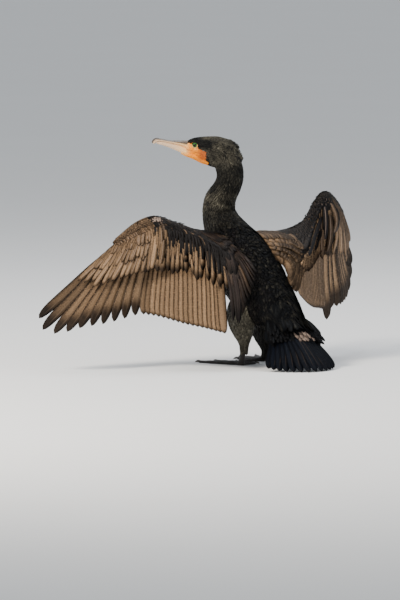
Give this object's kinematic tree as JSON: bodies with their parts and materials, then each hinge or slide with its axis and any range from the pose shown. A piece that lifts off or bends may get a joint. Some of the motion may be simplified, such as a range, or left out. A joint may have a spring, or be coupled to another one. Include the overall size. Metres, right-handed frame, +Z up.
{
  "type": "cormorant",
  "caption": "Life-size great cormorant standing on the floor, wings held out to dry, neck up, head in profile to its left, fanned tail resting behind",
  "frame": {"origin": "on the floor, at the middle of the model's bounding box seen from above", "axes": "+Z is up, +Y is the way the bird's body faces, +X is to its right; the wings spread along X, which is the longest side"},
  "size_m": [0.8094, 0.4284, 0.4383],
  "materials": {
    "head_plumage": "matt feather, mottled olive and black",
    "neck_plumage": "matt feather, mottled brown and black",
    "body_plumage": "glossy blue-black feather",
    "wing_feathers": "satin bronze-brown feather with dark edges",
    "tail_feathers": "satin black feather",
    "bill_horn": "smooth pale horn",
    "throat_skin": "soft yellow-orange skin",
    "eye": "wet green",
    "leg_scales": "satin dark scales"
  },
  "bodies": {
    "root": {"head": "head_plumage", "bill_upper": "bill_horn", "bill_lower": "bill_horn", "gular_skin": "throat_skin", "eye_left": "eye", "eye_right": "eye", "neck_upper": "neck_plumage", "neck_lower": "neck_plumage", "torso": "body_plumage", "tail": "tail_feathers", "wing_left_upper_arm": "wing_feathers", "wing_left_forearm": "wing_feathers", "wing_left_hand": "wing_feathers", "wing_right_upper_arm": "wing_feathers", "wing_right_forearm": "wing_feathers", "wing_right_hand": "wing_feathers", "leg_left_thigh": "body_plumage", "leg_left_tarsus": "leg_scales", "leg_left_foot": "leg_scales", "leg_left_claw_hind": "leg_scales", "leg_left_claw_inner": "leg_scales", "leg_left_claw_middle": "leg_scales", "leg_left_claw_outer": "leg_scales", "leg_right_thigh": "body_plumage", "leg_right_tarsus": "leg_scales", "leg_right_foot": "leg_scales", "leg_right_claw_hind": "leg_scales", "leg_right_claw_inner": "leg_scales", "leg_right_claw_middle": "leg_scales", "leg_right_claw_outer": "leg_scales"}
  },
  "joints": []
}
